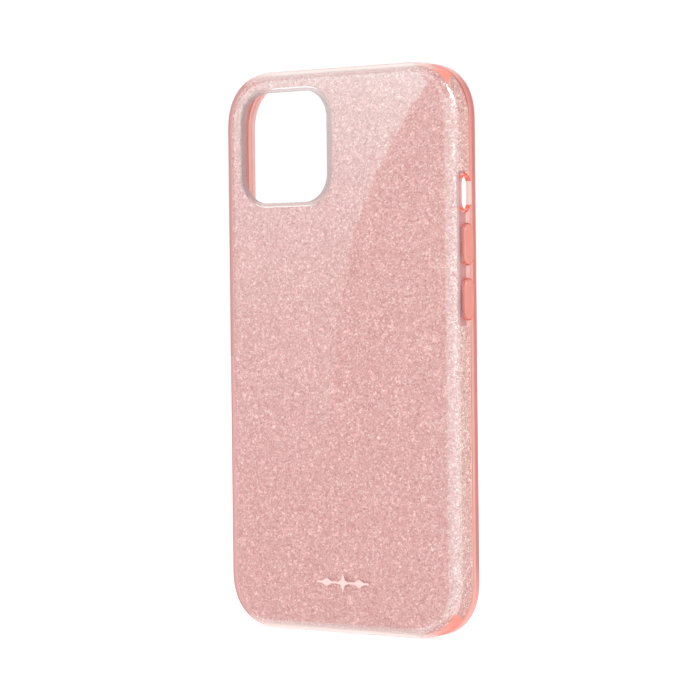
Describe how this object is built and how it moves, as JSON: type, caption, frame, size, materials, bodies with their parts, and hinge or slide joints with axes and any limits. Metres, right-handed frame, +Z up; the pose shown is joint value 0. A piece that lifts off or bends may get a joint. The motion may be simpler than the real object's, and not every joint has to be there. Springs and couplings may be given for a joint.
{
  "type": "phone case",
  "caption": "Protective back cover for a slab phone: soft tinted shell over a glitter sheet and a clear tray, with camera, switch and port openings and press-through button covers",
  "frame": {"origin": "middle of the bottom edge, with the case standing upright", "axes": "+Z up the case towards the camera end, +Y from the back towards the open front, +X towards the side with the mute switch and volume buttons (on the right when the back is looked at)"},
  "size_m": [0.076, 0.011, 0.1502],
  "materials": {
    "soft_shell": "glossy translucent coral thermoplastic polyurethane, clearer where it is thin and stronger where it is thick",
    "clear_tray": "clear hard polycarbonate, faintly smoky, polished",
    "glitter_film": "rose pink film packed with fine pale pink and rose glitter flakes",
    "soft_cover": "glossy coral thermoplastic polyurethane, nearly solid in colour because it is thick",
    "pale_foil": "pale pink hot-stamped foil, satin"
  },
  "bodies": {
    "case_body": {"outer_shell": "soft_shell", "inner_shell": "clear_tray", "glitter_sheet": "glitter_film", "back_mark": "pale_foil"},
    "volume_up": {"volume_up_cover": "soft_cover"},
    "volume_down": {"volume_down_cover": "soft_cover"},
    "side_button": {"side_button_cover": "soft_cover"}
  },
  "joints": [
    {"name": "volume_up_press", "type": "slide", "parent": "case_body", "child": "volume_up", "axis": [-1, 0, 0], "range_m": [0, 0.0003], "stiffness_N_per_m": 4000},
    {"name": "volume_down_press", "type": "slide", "parent": "case_body", "child": "volume_down", "axis": [-1, 0, 0], "range_m": [0, 0.0003], "stiffness_N_per_m": 4000},
    {"name": "side_button_press", "type": "slide", "parent": "case_body", "child": "side_button", "axis": [1, 0, 0], "range_m": [0, 0.0003], "stiffness_N_per_m": 4000}
  ]
}
